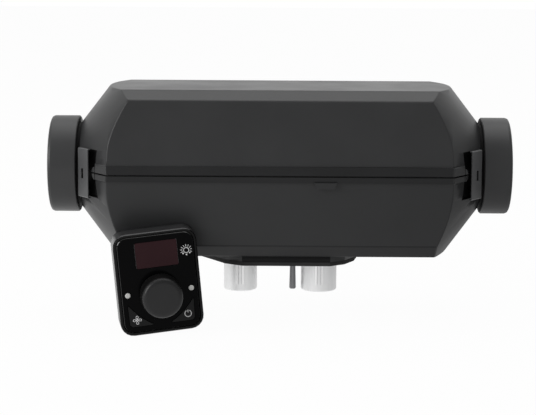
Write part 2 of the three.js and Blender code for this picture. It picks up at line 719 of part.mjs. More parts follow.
function blowerHousing() {
  const profile = [
    [8, BLOWER_START_X],
    [BLOWER_RADIUS - 3, BLOWER_START_X],
    [BLOWER_RADIUS, BLOWER_START_X + 3],
    [BLOWER_RADIUS, BLOWER_END_X - FLANGE_THICKNESS],
    [FLANGE_RADIUS, BLOWER_END_X - FLANGE_THICKNESS],
    [FLANGE_RADIUS, BLOWER_END_X],
    [20, BLOWER_END_X],
    [20, BLOWER_END_X - 2.4],
    [BLOWER_RADIUS - 2.6, BLOWER_END_X - 2.4],
    [BLOWER_RADIUS - 2.6, BLOWER_START_X + 4.5],
    [BLOWER_RADIUS - 4.5, BLOWER_START_X + 2.6],
    [8, BLOWER_START_X + 2.6],
  ];
  const drum = turnedX(profile, 28);
  const ductFoot = PLATE_SEAT + 3 + SEAT_GAP;
  const duct = box(BLOWER_START_X + 5, INTAKE_X + 11.5, -12, 12, ductFoot, -43.5);
  const riser = box(BLOWER_START_X + 5, BLOWER_END_X - 5, -12, 12, ductFoot, -32);
  const run = box(BLOWER_START_X + 7.5, INTAKE_X + 9, -9.5, 9.5, ductFoot + 1.6, -45.2);
  const rise = box(BLOWER_START_X + 7.5, BLOWER_END_X - 7.5, -9.5, 9.5, ductFoot + 1.6, -28);
  const port = rodZ(INTAKE_PORT_RADIUS, ductFoot - 2, -47, 24).translate([INTAKE_X, 0, 0]);
  const holes = [];
  for (let i = 0; i < 4; i++) {
    const hole = rodX(2 + BORE_FIT, BLOWER_END_X - 6, BLOWER_END_X + 2, 14);
    holes.push(hole.translate([0, 0, SCREW_CIRCLE]).rotate([45 + 90 * i, 0, 0]));
    const spot = rodX(4.2, BLOWER_END_X - 12, BLOWER_END_X - FLANGE_THICKNESS, 14);
    holes.push(spot.translate([0, 0, SCREW_CIRCLE]).rotate([45 + 90 * i, 0, 0]));
  }
  const hollow = rodX(BLOWER_RADIUS - 4.6, BLOWER_START_X + 2.6, BLOWER_END_X - 2.4, 28);
  return cut(join(drum, duct, cut(riser, hollow)), run, rise, port, ...holes);
}

// One blower screw, at an angle round the duct axis.
function blowerScrew(angle) {
  const head = BLOWER_END_X - FLANGE_THICKNESS - SEAT_GAP;
  const profile = [
    [0, head - 3],
    [3.6, head - 3],
    [3.6, head],
    [2, head],
    [2, EXCHANGER_START_X + 2.6],
    [0, EXCHANGER_START_X + 2.6],
  ];
  const recess = rodX(1.5, head - 4, head - 1.4, 6);
  return cut(turnedX(profile, 12), recess).translate([0, 0, SCREW_CIRCLE]).rotate([angle, 0, 0]);
}

function motorHousing() {
  const profile = [
    [SHAFT_RADIUS + BORE_FIT, MOTOR_START_X],
    [9, MOTOR_START_X],
    [9, MOTOR_START_X + 3],
    [MOTOR_RADIUS, MOTOR_START_X + 4.5],
    [MOTOR_RADIUS, BLOWER_START_X - SEAT_GAP],
    [SHAFT_RADIUS + BORE_FIT, BLOWER_START_X - SEAT_GAP],
  ];
  return turnedX(profile, 24);
}

function motorShaft() {
  return rodX(SHAFT_RADIUS, FAN_START_X - 2, -43, 16);
}

function hotAirFan() {
  const profile = [
    [SHAFT_RADIUS + BORE_FIT, FAN_START_X],
    [HUB_RADIUS - 4, FAN_START_X],
    [HUB_RADIUS, FAN_START_X + 4],
    [HUB_RADIUS, FAN_END_X],
    [SHAFT_RADIUS + BORE_FIT, FAN_END_X],
  ];
  const hub = turnedX(profile, 24);
  const blades = [];
  const centre = (FAN_START_X + FAN_END_X) / 2;
  for (let i = 0; i < FAN_BLADES; i++) {
    const blade = box(-0.8, 0.8, -8.2, 8.2, HUB_RADIUS - 1.5, FAN_RADIUS).rotate([0, 0, 38]);
    blades.push(blade.translate([centre, 0, 0]).rotate([(360 * i) / FAN_BLADES, 0, 0]));
  }
  const ring = rodX(FAN_RADIUS, FAN_START_X + 0.5, FAN_END_X, 36);
  return join(hub, ...blades.map((blade) => blade.intersect(ring)));
}

function combustionImpeller() {
  const start = BLOWER_START_X + 4;
  const profile = [
    [SHAFT_RADIUS + BORE_FIT, start],
    [IMPELLER_RADIUS, start],
    [IMPELLER_RADIUS, start + 1.6],
    [8, start + 3],
    [6, start + 12],
    [SHAFT_RADIUS + BORE_FIT, start + 12],
  ];
  const disc = turnedX(profile, 24);
  const vanes = [];
  for (let i = 0; i < IMPELLER_VANES; i++) {
    const vane = box(start + 1, start + 10, -0.6, 0.6, IMPELLER_RADIUS / 2, IMPELLER_RADIUS - 0.4);
    vanes.push(vane.rotate([(360 * i) / IMPELLER_VANES, 0, 0]));
  }
  return join(disc, ...vanes);
}

function controlUnit() {
  const floor = MOTOR_RADIUS + SEAT_GAP;
  const body = plate(roundedBox(UNIT_LENGTH, UNIT_WIDTH, 3, 2), floor, floor + UNIT_HEIGHT);
  const socket = box(4.5, 12.5, UNIT_WIDTH / 2 - 1, UNIT_WIDTH / 2 + 4, floor + 4, floor + 12);
  return join(body, socket).translate([UNIT_X, 0, 0]);
}

function overheatSensor() {
  return rodZ(SENSOR_RADIUS, SENSOR_PAD + SEAT_GAP, SENSOR_TOP, 20).translate([SENSOR_X, 0, 0]);
}

function sensorClip() {
  const top = SENSOR_TOP + SEAT_GAP;
  const half = SENSOR_RADIUS + 3;
  const bridge = box(-half, half, -3, 3, top, top + 0.8);
  const legs = [-1, 1].map((side) => {
    const [x0, x1] = [side * half, side * (half - 0.8)].sort((a, b) => a - b);
    return box(x0, x1, -3, 3, SENSOR_PAD + SEAT_GAP, top + 0.8);
  });
  return join(bridge, ...legs).translate([SENSOR_X, 0, 0]);
}

function cableGrommet() {
  const wall = 1.6;
  const profile = [
    [2, -4.5],
    [6, -4.5],
    [7.4, -wall - 0.3],
    [5, -wall],
    [5, wall],
    [7.4, wall + 0.3],
    [7.4, 2.8],
    [6.6, 3.6],
    [2, 3.6],
  ];
  const turned = turnedGeometry(profile, 20);
  return solidOf(turned.rotateX(radians(-8.9))).translate([GROMMET_X, 53.98, GROMMET_Z]);
}

// Controller pieces, each in the frame of the face: x is u, y is v, z is n.
function controllerCase() {
  const outer = roundedBox(FACE_WIDTH, FACE_HEIGHT, FACE_CORNER, 5);
  const brim = roundedBox(FACE_WIDTH - 1.4, FACE_HEIGHT - 1.4, FACE_CORNER - 0.7, 5);
  const foot = -CASE_DEPTH + COVER_DEPTH + SEAT_GAP;
  const body = solidOf(drawnFrustum(brim, outer, foot, -0.9, 0));
  const room = 2 * CASE_WALL;
  const hollow = roundedBox(FACE_WIDTH - room, FACE_HEIGHT - room, FACE_CORNER - CASE_WALL, 5);
  const lead = roundedBox(13.6, 4.8, 1, 2);
  const notch = plate(lead, -6, 6).rotate([90, 0, 0]).translate([0, -FACE_HEIGHT / 2, BOARD_FOOT - 2]);
  return cut(body, plate(hollow, foot - 1, 1), notch);
}

// A straight-sided body whose front edge is drawn in to a smaller outline.
function drawnFrustum(front, side, z0, z1, z2) {
  const count = side.length;
  const places = [];
  for (const [x, y] of side) places.push(x, y, z0);
  for (const [x, y] of side) places.push(x, y, z1);
  for (const [x, y] of front) places.push(x, y, z2);
  places.push(0, 0, z0, 0, 0, z2);
  const faces = [];
  for (let i = 0; i < count; i++) {
    const next = (i + 1) % count;
    faces.push(i, next, count + next, i, count + next, count + i);
    faces.push(count + i, count + next, 2 * count + next, count + i, 2 * count + next, 2 * count + i);
    faces.push(3 * count, next, i, 3 * count + 1, 2 * count + i, 2 * count + next);
  }
  const geometry = new THREE.BufferGeometry();
  geometry.setAttribute("position", new THREE.BufferAttribute(new Float32Array(places), 3));
  geometry.setIndex(faces);
  return geometry;
}

// The outline of the lower left button: two straight sides along the corner and one hollow side round the knob.
function buttonOutline() {
  const curve = new THREE.QuadraticBezierCurve(
    new THREE.Vector2(15.6, 0.5),
    new THREE.Vector2(7, 5.2),
    new THREE.Vector2(0.3, 14.4),
  );
  const hollowSide = curve.getPoints(5).map((spot) => [spot.x, spot.y]);
  const outline = [...hollowSide, [0, 13.3], [0.3, 1.5], [1.8, 0], [14.9, 0]];
  return outline.map(([u, v]) => [BUTTON_LEFT + u, BUTTON_FOOT + v]);
}

function mirrored(outline) {
  return outline.map(([u, v]) => [-u, v]).reverse();
}

function controllerFascia() {
  const inset = CASE_WALL + SEAT_GAP;
  const front = roundedBox(FACE_WIDTH - 2 * inset - 1, FACE_HEIGHT - 2 * inset - 1, FACE_CORNER - inset - 0.5, 5);
  const side = roundedBox(FACE_WIDTH - 2 * inset, FACE_HEIGHT - 2 * inset, FACE_CORNER - inset, 5);
  const body = solidOf(drawnFrustum(front, side, -FASCIA_DEPTH, -0.4, 0.1));
  const opening = drawnIn(buttonOutline(), -SEAT_GAP);
  const window = roundedBox(WINDOW_WIDTH + 2 * SEAT_GAP, WINDOW_HEIGHT + 2 * SEAT_GAP, 0.8, 1);
  const tools = [
    plate(window, -4, 2).translate([WINDOW_U, WINDOW_V, 0]),
    rodZ(4, -4, 2, 20).translate([KNOB_U, KNOB_V, 0]),
    plate(opening, -4, 2),
    plate(mirrored(opening), -4, 2),
    rodZ(INDICATOR_RADIUS + SEAT_GAP, -4, 2, 20).translate([-INDICATOR_U, INDICATOR_V, 0]),
    rodZ(INDICATOR_RADIUS + SEAT_GAP, -4, 2, 20).translate([INDICATOR_U, INDICATOR_V, 0]),
  ];
  return cut(body, ...tools);
}

const BOARD_FOOT = COVER_DEPTH + 4.4 - CASE_DEPTH;
const BOARD_TOP = BOARD_FOOT + 1.6;

function displayWindow() {
  return plate(roundedBox(WINDOW_WIDTH, WINDOW_HEIGHT, 0.6, 1), -1.8, 0.05).translate([WINDOW_U, WINDOW_V, 0]);
}

function displayModule() {
  const outline = roundedBox(WINDOW_WIDTH + 6, WINDOW_HEIGHT + 4.4, 1, 1);
  const body = plate(outline, BOARD_TOP + SEAT_GAP, -FASCIA_DEPTH - SEAT_GAP);
  const screen = plate(roundedBox(WINDOW_WIDTH - 1.2, WINDOW_HEIGHT - 1, 0.5, 1), -3, -1.8 - SEAT_GAP);
  return join(body, screen).translate([WINDOW_U, WINDOW_V, 0]);
}

function circuitBoard() {
  const room = 2 * CASE_WALL + 0.8;
  const outline = roundedBox(FACE_WIDTH - room, FACE_HEIGHT - room, 6.5, 3);
  const shape = plate(outline, BOARD_FOOT, BOARD_TOP);
  const posts = screwSpots().map(([u, v]) => rodZ(2.9, BOARD_FOOT - 1, BOARD_TOP + 1, 14).translate([u, v, 0]));
  return cut(shape, ...posts);
}

function screwSpots() {
  const [u, v] = [FACE_WIDTH / 2 - 6.4, FACE_HEIGHT / 2 - 6.4];
  return [
    [-u, -v],
    [u, -v],
    [u, v],
    [-u, v],
  ];
}

function backCover() {
  const outer = roundedBox(FACE_WIDTH, FACE_HEIGHT, FACE_CORNER, 5);
  const face = roundedBox(FACE_WIDTH - 1.6, FACE_HEIGHT - 1.6, FACE_CORNER - 0.8, 5);
  const inner = -CASE_DEPTH + COVER_DEPTH;
  const slab = solidOf(drawnFrustum(face, outer, -inner, CASE_DEPTH - 0.8, CASE_DEPTH)).rotate([0, 180, 0]);
  const posts = screwSpots().map(([u, v]) => rodZ(2.6, inner - 0.5, BOARD_FOOT + 1, 14).translate([u, v, 0]));
  const bores = screwSpots().map(([u, v]) => rodZ(1.5, -CASE_DEPTH - 1, BOARD_FOOT, 12).translate([u, v, 0]));
  const sinks = screwSpots().map(([u, v]) => rodZ(2.5, -CASE_DEPTH - 1, -CASE_DEPTH + 1.4, 14).translate([u, v, 0]));
  return cut(join(slab, ...posts), ...bores, ...sinks);
}

function controllerScrew([u, v]) {
  const profile = [
    [0, -CASE_DEPTH + 0.1],
    [2.1, -CASE_DEPTH + 0.1],
    [2.1, -CASE_DEPTH + 1.1],
    [1.15, -CASE_DEPTH + 1.1],
    [1.15, BOARD_FOOT - 0.8],
    [0, BOARD_FOOT - 0.8],
  ];
  const slot = box(-1.6, 1.6, -0.3, 0.3, -CASE_DEPTH - 1, -CASE_DEPTH + 0.6);
  return cut(turnedZ(profile, 12), slot).translate([u, v, 0]);
}

function encoderBody() {
  const block = box(-6, 6, -6.5, 6.5, BOARD_TOP + SEAT_GAP, -4.2);
  return cut(block, rodZ(3 + BORE_FIT, -7.4, 0, 16)).translate([KNOB_U, KNOB_V, 0]);
}

function encoderShaft() {
  return rodZ(3, -7.1, 8, 16).translate([KNOB_U, KNOB_V, 0]);
}

function controlKnob() {
  const foot = 0.4;
  const profile = [
    [3 + BORE_FIT, foot],
    [KNOB_BASE - 0.5, foot],
    [KNOB_BASE, foot + 0.8],
    [KNOB_BASE - 0.1, foot + 2.6],
    [KNOB_CAP + 0.2, KNOB_HEIGHT - 3.4],
    [KNOB_CAP, KNOB_HEIGHT - 2],
    [KNOB_CAP - 0.8, KNOB_HEIGHT - 0.8],
    [KNOB_CAP - 2, KNOB_HEIGHT - 0.2],
    [KNOB_CAP - 3.4, KNOB_HEIGHT],
    [0, KNOB_HEIGHT],
    [0, 8.3],
    [3 + BORE_FIT, 8.3],
  ];
  return turnedZ(profile, 48).translate([KNOB_U, KNOB_V, 0]);
}

function fanButton() {
  const stem = rodZ(1.6, -4.1, -1, 12).translate([SWITCH_U, SWITCH_V, 0]);
  return join(plate(buttonOutline(), -1.6, BUTTON_RISE), stem);
}

function touchSwitch(u) {
  const body = box(u - 3, u + 3, SWITCH_V - 3, SWITCH_V + 3, BOARD_TOP + SEAT_GAP, -5.4);
  return join(body, rodZ(1.6, -5.5, -4.7, 12).translate([u, SWITCH_V, 0]));
}

function indicator(u) {
  const profile = [
    [0, BOARD_TOP + SEAT_GAP],
    [INDICATOR_RADIUS, BOARD_TOP + SEAT_GAP],
    [INDICATOR_RADIUS, 0.1],
    [INDICATOR_RADIUS - 0.5, 0.4],
    [0, 0.4],
  ];
  return turnedZ(profile, 20).translate([u, INDICATOR_V, 0]);
}

function controllerSocket() {
  const foot = -FACE_HEIGHT / 2;
  const top = BOARD_FOOT - SEAT_GAP;
  const shell = box(-6, 6, foot + 0.4, foot + 9, top - 3.4, top);
  const mouth = box(-5, 5, foot - 1, foot + 7, top - 2.6, top - 0.8);
  return cut(shell, mouth);
}

function heater() {
  const group = new THREE.Group();
  group.position.z = AXIS_HEIGHT;
  const halves = shellHalves();
  const rim = collar();
  const clips = atFourEnds(clip());
  const pieces = [
    ["upper_shell", halves.upper, SHELL_FINISH],
    ["lower_shell", halves.lower, SHELL_FINISH],
    ["inlet_collar", rim.mirror([1, 0, 0]), COLLAR_FINISH],
    ["outlet_collar", rim, COLLAR_FINISH],
    ["inlet_grille", ringGrille().mirror([1, 0, 0]), BLACK_FINISH],
    ["outlet_guard", barGuard(), BLACK_FINISH],
    ["clip_front_right", clips[0], STEEL_FINISH],
    ["clip_front_left", clips[1], STEEL_FINISH],
    ["clip_rear_right", clips[2], STEEL_FINISH],
    ["clip_rear_left", clips[3], STEEL_FINISH],
    ["base_gasket", baseGasket(), RUBBER_FINISH],
    ["intake_spigot", ribbedPipe(INTAKE_X, INTAKE_RADIUS, SOCKET_TOP - SEAT_GAP), PIPE_FINISH],
    ["exhaust_spigot", ribbedPipe(EXHAUST_X, EXHAUST_RADIUS, SOCKET_TOP - SEAT_GAP), PIPE_FINISH],
    ["fuel_spigot", fuelSpigot(SOCKET_TOP - SEAT_GAP), DARK_STEEL_FINISH],
    ["heat_exchanger", heatExchanger(), CAST_FINISH],
    ["burner_tube", burnerTube(), DARK_STEEL_FINISH],
    ["burner_gasket", burnerGasket(), RUBBER_FINISH],
    ["glow_plug", glowPlug(), STEEL_FINISH],
    ["blower_housing", blowerHousing(), CAST_FINISH],
    ["motor_housing", motorHousing(), DARK_STEEL_FINISH],
    ["motor_shaft", motorShaft(), STEEL_FINISH],
    ["hot_air_fan", hotAirFan(), BLACK_FINISH],
    ["combustion_impeller", combustionImpeller(), BLACK_FINISH],
    ["control_unit", controlUnit(), BLACK_FINISH],
    ["overheat_sensor", overheatSensor(), STEEL_FINISH],
    ["sensor_clip", sensorClip(), STEEL_FINISH],
    ["cable_grommet", cableGrommet(), RUBBER_FINISH],
  ];
  for (const [name, solid, finish] of pieces) group.add(nodeOf(name, solid, finish));
  for (let i = 0; i < 4; i++) {
    group.add(nodeOf("blower_screw_" + (i + 1), blowerScrew(45 + 90 * i), STEEL_FINISH));
  }
  return group;
}

function controller() {
  const face = new THREE.Group();
  face.rotation.x = Math.PI / 2;
  face.position.y = -CASE_DEPTH;
  const rightButton = fanButton().mirror([1, 0, 0]);
  const pieces = [
    ["controller_case", controllerCase(), BLACK_FINISH],
    ["controller_fascia", controllerFascia(), GLOSS_FINISH],
    ["controller_back_cover", backCover(), BLACK_FINISH],
    ["display_window", displayWindow(), GLASS_FINISH],
    ["display_module", displayModule(), DARK_STEEL_FINISH],
    ["circuit_board", circuitBoard(), BOARD_FINISH],
    ["encoder_body", encoderBody(), STEEL_FINISH],
    ["encoder_shaft", encoderShaft(), STEEL_FINISH],
    ["control_knob", controlKnob(), BLACK_FINISH],
    ["fan_button", fanButton(), BLACK_FINISH],
    ["power_button", rightButton, BLACK_FINISH],
    ["fan_switch", touchSwitch(SWITCH_U), DARK_STEEL_FINISH],
    ["power_switch", touchSwitch(-SWITCH_U), DARK_STEEL_FINISH],
    ["indicator_left", indicator(-INDICATOR_U), WHITE_FINISH],
    ["indicator_right", indicator(INDICATOR_U), WHITE_FINISH],
    ["controller_socket", controllerSocket(), BLACK_FINISH],
  ];
  for (const [name, solid, finish] of pieces) face.add(nodeOf(name, solid, finish));
  screwSpots().forEach((spot, i) => {
    face.add(nodeOf("controller_screw_" + (i + 1), controllerScrew(spot), STEEL_FINISH));
  });
  const group = new THREE.Group();
  group.add(face);
  group.rotation.set(-radians(CONTROLLER_PITCH), -radians(CONTROLLER_ROLL), radians(CONTROLLER_YAW), "ZXY");
  const [x, y, z] = CONTROLLER_BACK;
  group.position.set(x, y, z + AXIS_HEIGHT);
  return group;
}

const part = new THREE.Group();
part.add(heater(), controller());
export default part;
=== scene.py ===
import json
import math

import bpy
from mathutils import Matrix, Vector


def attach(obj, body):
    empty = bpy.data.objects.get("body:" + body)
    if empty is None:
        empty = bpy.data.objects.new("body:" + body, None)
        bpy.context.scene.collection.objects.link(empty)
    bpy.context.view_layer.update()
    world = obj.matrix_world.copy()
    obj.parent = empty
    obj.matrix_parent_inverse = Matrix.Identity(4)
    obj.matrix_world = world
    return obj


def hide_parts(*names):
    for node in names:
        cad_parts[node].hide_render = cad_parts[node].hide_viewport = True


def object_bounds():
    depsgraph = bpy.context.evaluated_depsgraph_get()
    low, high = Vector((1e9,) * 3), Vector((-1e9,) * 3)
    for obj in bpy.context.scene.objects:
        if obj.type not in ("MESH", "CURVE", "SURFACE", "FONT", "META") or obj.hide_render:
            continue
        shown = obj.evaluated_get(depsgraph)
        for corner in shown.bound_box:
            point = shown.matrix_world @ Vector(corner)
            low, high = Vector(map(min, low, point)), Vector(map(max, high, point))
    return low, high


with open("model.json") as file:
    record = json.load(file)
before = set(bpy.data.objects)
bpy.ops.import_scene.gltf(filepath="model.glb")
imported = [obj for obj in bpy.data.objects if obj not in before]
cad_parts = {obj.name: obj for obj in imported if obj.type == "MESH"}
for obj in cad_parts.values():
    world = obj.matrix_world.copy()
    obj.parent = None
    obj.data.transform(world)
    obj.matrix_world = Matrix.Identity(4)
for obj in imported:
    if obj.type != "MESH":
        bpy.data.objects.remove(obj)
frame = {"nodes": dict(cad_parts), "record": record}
nodes = frame["nodes"]
cad_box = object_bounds()

MM = 0.001
AXIS_HEIGHT = 63.2 * MM  # of the duct axis

# Places on the CAD part by which painted shade and painted light are laid on, in mm. Heights are from the duct
# axis.
CONE = math.atan(1.3)  # the slope of the ends
END_X, END_R = 134.6, 30.0  # the outer end of the cone
SHELL_SIDE = 57.6  # the sides stand within this, and only the bead is outside it
BEAD_HEIGHTS = (-4.3, 6.3)
BILGE_TOP = -40
SKIRT_FRONT = {"below": -56.6, "beyond": 38}
LENGTHWISE = 0.1  # a normal's x for a face of the long sides stays below this
BILGE_SLOPE = (-0.9, -0.25)  # and its z lies between these for the sloping foot
UPRIGHT = 0.95  # and its y is beyond this for an upright face
SEALING_LIP_ABOVE = 0.1
CLIP_POCKET = {"s": (4.9, 20.7), "n": (-4.6, -0.3), "z": (-17.2, 15)}
NECK_RING = {"within_x": 137, "within_radius": 29.5}
PIPES = {"intake_spigot": (-26.9, 11.4), "exhaust_spigot": (27.2, 12.3)}  # each one's x and its radius
RIB_FOOT = 0.25  # what is this far out of a pipe is part of a rib
RIB_CREST = 0.6  # a rib's crest looks away from the pipe's axis by more than this, and its flanks by less
CASE_RIM_ABOVE = -1  # these two are out of the controller's face
KNOB_CAP_ABOVE = 11.4
CASE_TOP_UPWARD = 0.6
FASCIA_EDGE_TILT = (0.2, 0.9)


# ---------------------------------------------------------------- helpers

def deselect():
    if bpy.context.mode != "OBJECT":
        bpy.ops.object.mode_set(mode="OBJECT")
    bpy.ops.object.select_all(action="DESELECT")


def pick(piece):
    deselect()
    piece.select_set(True)
    bpy.context.view_layer.objects.active = piece


def edit(piece):
    pick(piece)
    bpy.ops.object.mode_set(mode="EDIT")
    bpy.ops.mesh.select_all(action="DESELECT")
    bpy.ops.object.mode_set(mode="OBJECT")


def choose(piece, faces=None, edges=None, verts=None):
    """Selects parts of a mesh by a test on each, and leaves the piece in edit mode."""
    edit(piece)
    mesh = piece.data
    if faces:
        bpy.context.tool_settings.mesh_select_mode = (False, False, True)
        for face in mesh.polygons:
            face.select = bool(faces(face))
    elif edges:
        bpy.context.tool_settings.mesh_select_mode = (False, True, False)
        for line in mesh.edges:
            line.select = bool(edges(line))
    else:
        bpy.context.tool_settings.mesh_select_mode = (True, False, False)
        for vert in mesh.vertices:
            vert.select = bool(verts(vert))
    bpy.ops.object.mode_set(mode="EDIT")


def leave():
    bpy.ops.object.mode_set(mode="OBJECT")


def apply_modifier(piece, kind, **settings):
    pick(piece)
    modifier = piece.modifiers.new(kind.title(), kind)
    for name, value in settings.items():
        setattr(modifier, name, value)
    bpy.ops.object.modifier_apply(modifier=modifier.name)


def settle(piece):
    """Puts a piece's place into its mesh."""
    pick(piece)
    bpy.ops.object.transform_apply(location=True, rotation=True, scale=True)


def dress(piece, finish):
    piece.data.materials.clear()
    piece.data.materials.append(finish)


def paint(piece, finish, faces):
    """Gives the faces that pass a test a finish of their own."""
    piece.data.materials.append(finish)
    choose(piece, faces=faces)
    piece.active_material_index = len(piece.data.materials) - 1
    bpy.ops.object.material_slot_assign()
    leave()


def smooth(piece, degrees=32, weighted=True):
    pick(piece)
    bpy.ops.object.shade_smooth_by_angle(angle=math.radians(degrees))
    if weighted:
        apply_modifier(piece, "WEIGHTED_NORMAL", mode="FACE_AREA", weight=50, keep_sharp=True)


def merged_copy(node, name):
    """A copy of a CAD node with its triangles joined up, which stands for the node."""
    source = nodes[node]
    piece = bpy.data.objects.new(name, source.data.copy())
    bpy.context.scene.collection.objects.link(piece)
    pick(piece)
    bpy.ops.object.mode_set(mode="EDIT")
    bpy.ops.mesh.select_all(action="SELECT")
    bpy.ops.mesh.remove_doubles(threshold=0.000008)
    bpy.ops.mesh.dissolve_limited(angle_limit=math.radians(0.4))
    leave()
    return piece


def place(piece, body, slot, finish, *stands_for):
    dress(piece, finish)
    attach(piece, body)
    if stands_for:
        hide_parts(*stands_for)


# ---------------------------------------------------------------- finishes

def new_group(name, inputs, outputs):
    group = bpy.data.node_groups.new(name, "ShaderNodeTree")
    for label, kind, value in inputs:
        socket = group.interface.new_socket(name=label, in_out="INPUT", socket_type=kind)
        if value is not None:
            socket.default_value = value
    for label, kind in outputs:
        group.interface.new_socket(name=label, in_out="OUTPUT", socket_type=kind)
    return group, group.nodes.new("NodeGroupInput"), group.nodes.new("NodeGroupOutput")


def make_grain_group():
    """Moulded grain: a fine height, with slow mottling of the tone and the gloss."""
    group, source, result = new_group(
        "moulded_grain",
        [
            ("Colour", "NodeSocketColor", (0.05, 0.05, 0.05, 1)),
            ("Grain Scale", "NodeSocketFloat", 2200.0),
            ("Mottle Scale", "NodeSocketFloat", 26.0),
            ("Mottle", "NodeSocketFloat", 0.06),
            ("Gloss Low", "NodeSocketFloat", 0.42),
            ("Gloss High", "NodeSocketFloat", 0.52),
        ],
        [("Colour", "NodeSocketColor"), ("Roughness", "NodeSocketFloat"), ("Height", "NodeSocketFloat")],
    )
    links = group.links
    coords = group.nodes.new("ShaderNodeTexCoord")
    grain = group.nodes.new("ShaderNodeTexNoise")
    grain.inputs["Detail"].default_value = 2.0
    mottle = group.nodes.new("ShaderNodeTexNoise")
    mottle.inputs["Detail"].default_value = 3.0
    for texture, scale in ((grain, "Grain Scale"), (mottle, "Mottle Scale")):
        links.new(coords.outputs["Object"], texture.inputs["Vector"])
        links.new(source.outputs[scale], texture.inputs["Scale"])
    spread = group.nodes.new("ShaderNodeMapRange")
    spread.inputs["From Min"].default_value = 0.3
    spread.inputs["From Max"].default_value = 0.7
    spread.inputs["To Min"].default_value = -1.0
    spread.inputs["To Max"].default_value = 1.0
    links.new(mottle.outputs["Fac"], spread.inputs["Value"])
    amount = group.nodes.new("ShaderNodeMath")
    amount.operation = "MULTIPLY_ADD"
    links.new(spread.outputs["Result"], amount.inputs[0])
    links.new(source.outputs["Mottle"], amount.inputs[1])
    amount.inputs[2].default_value = 1.0
    tone = group.nodes.new("ShaderNodeVectorMath")
    tone.operation = "SCALE"
    links.new(source.outputs["Colour"], tone.inputs[0])
    links.new(amount.outputs[0], tone.inputs["Scale"])
    links.new(tone.outputs["Vector"], result.inputs["Colour"])
    gloss = group.nodes.new("ShaderNodeMapRange")
    gloss.inputs["From Min"].default_value = 0.3
    gloss.inputs["From Max"].default_value = 0.7
    links.new(mottle.outputs["Fac"], gloss.inputs["Value"])
    links.new(source.outputs["Gloss Low"], gloss.inputs["To Min"])
    links.new(source.outputs["Gloss High"], gloss.inputs["To Max"])
    links.new(gloss.outputs["Result"], result.inputs["Roughness"])
    links.new(grain.outputs["Fac"], result.inputs["Height"])
    return group


def make_dust_group():
    """A mask of fine lint and dust that settles on faces which look up."""
    group, source, result = new_group(
        "settled_dust",
        [("Scale", "NodeSocketFloat", 900.0), ("Amount", "NodeSocketFloat", 0.05)],
        [("Mask", "NodeSocketFloat")],
    )
    links = group.links
    coords = group.nodes.new("ShaderNodeTexCoord")
    geometry = group.nodes.new("ShaderNodeNewGeometry")
    split = group.nodes.new("ShaderNodeSeparateXYZ")
    links.new(geometry.outputs["Normal"], split.inputs["Vector"])
    up = group.nodes.new("ShaderNodeMapRange")
    up.inputs["From Min"].default_value = 0.2
    links.new(split.outputs["Z"], up.inputs["Value"])
    specks = group.nodes.new("ShaderNodeTexNoise")
    specks.inputs["Detail"].default_value = 4.0
    links.new(coords.outputs["Object"], specks.inputs["Vector"])
    links.new(source.outputs["Scale"], specks.inputs["Scale"])
    few = group.nodes.new("ShaderNodeMapRange")
    few.inputs["From Min"].default_value = 0.5
    few.inputs["From Max"].default_value = 0.75
    links.new(specks.outputs["Fac"], few.inputs["Value"])
    both = group.nodes.new("ShaderNodeMath")
    both.operation = "MULTIPLY"
    links.new(up.outputs["Result"], both.inputs[0])
    links.new(few.outputs["Result"], both.inputs[1])
    scaled = group.nodes.new("ShaderNodeMath")
    scaled.operation = "MULTIPLY"
    links.new(both.outputs[0], scaled.inputs[0])
    links.new(source.outputs["Amount"], scaled.inputs[1])
    links.new(scaled.outputs[0], result.inputs["Mask"])
    return group


GRAIN = make_grain_group()
DUST = make_dust_group()


PLASTIC_MOTTLE = (26, 0.06)  # the scale and the amount
METAL_MOTTLE = (40, 0.05)
BUMP_DISTANCE = 0.2 * MM
DUST_TONE = (0.55, 0.55, 0.54, 1)


def new_material(name):
    material = bpy.data.materials.new(name)
    material.use_nodes = True
    return material, material.node_tree, material.node_tree.nodes["Principled BSDF"]


def add_grain(tree, shader, tone, grain_scale, mottle, gloss):
    """The moulded grain for a shader, with its roughness joined up. Its tone and height are left open."""
    grained = tree.nodes.new("ShaderNodeGroup")
    grained.node_tree = GRAIN
    grained.inputs["Colour"].default_value = (*tone, 1)
    grained.inputs["Grain Scale"].default_value = grain_scale
    grained.inputs["Mottle Scale"].default_value = mottle[0]
    grained.inputs["Mottle"].default_value = mottle[1]
    grained.inputs["Gloss Low"].default_value = gloss[0]
    grained.inputs["Gloss High"].default_value = gloss[1]
    tree.links.new(grained.outputs["Roughness"], shader.inputs["Roughness"])
    return grained


def add_bump(tree, shader, height, strength):
    bump = tree.nodes.new("ShaderNodeBump")
    bump.inputs["Strength"].default_value = strength
    bump.inputs["Distance"].default_value = BUMP_DISTANCE
    tree.links.new(height, bump.inputs["Height"])
    tree.links.new(bump.outputs["Normal"], shader.inputs["Normal"])


def plastic(name, tone, gloss=(0.42, 0.52), grain=(2200, 0.06), dust=0.0, specular=0.5):
    """A moulded plastic or rubber. grain is (scale, height)."""
    material, tree, shader = new_material(name)
    shader.inputs["Specular IOR Level"].default_value = specular
    grained = add_grain(tree, shader, tone, grain[0], PLASTIC_MOTTLE, gloss)
    colour = grained.outputs["Colour"]
    if dust:
        dusted = tree.nodes.new("ShaderNodeGroup")
        dusted.node_tree = DUST
        dusted.inputs["Amount"].default_value = dust
        blend = tree.nodes.new("ShaderNodeMix")
        blend.data_type = "RGBA"
        blend.inputs["B"].default_value = DUST_TONE
        tree.links.new(dusted.outputs["Mask"], blend.inputs["Factor"])
        tree.links.new(colour, blend.inputs["A"])
        colour = blend.outputs["Result"]
    tree.links.new(colour, shader.inputs["Base Color"])
    add_bump(tree, shader, grained.outputs["Height"], grain[1])
    return material


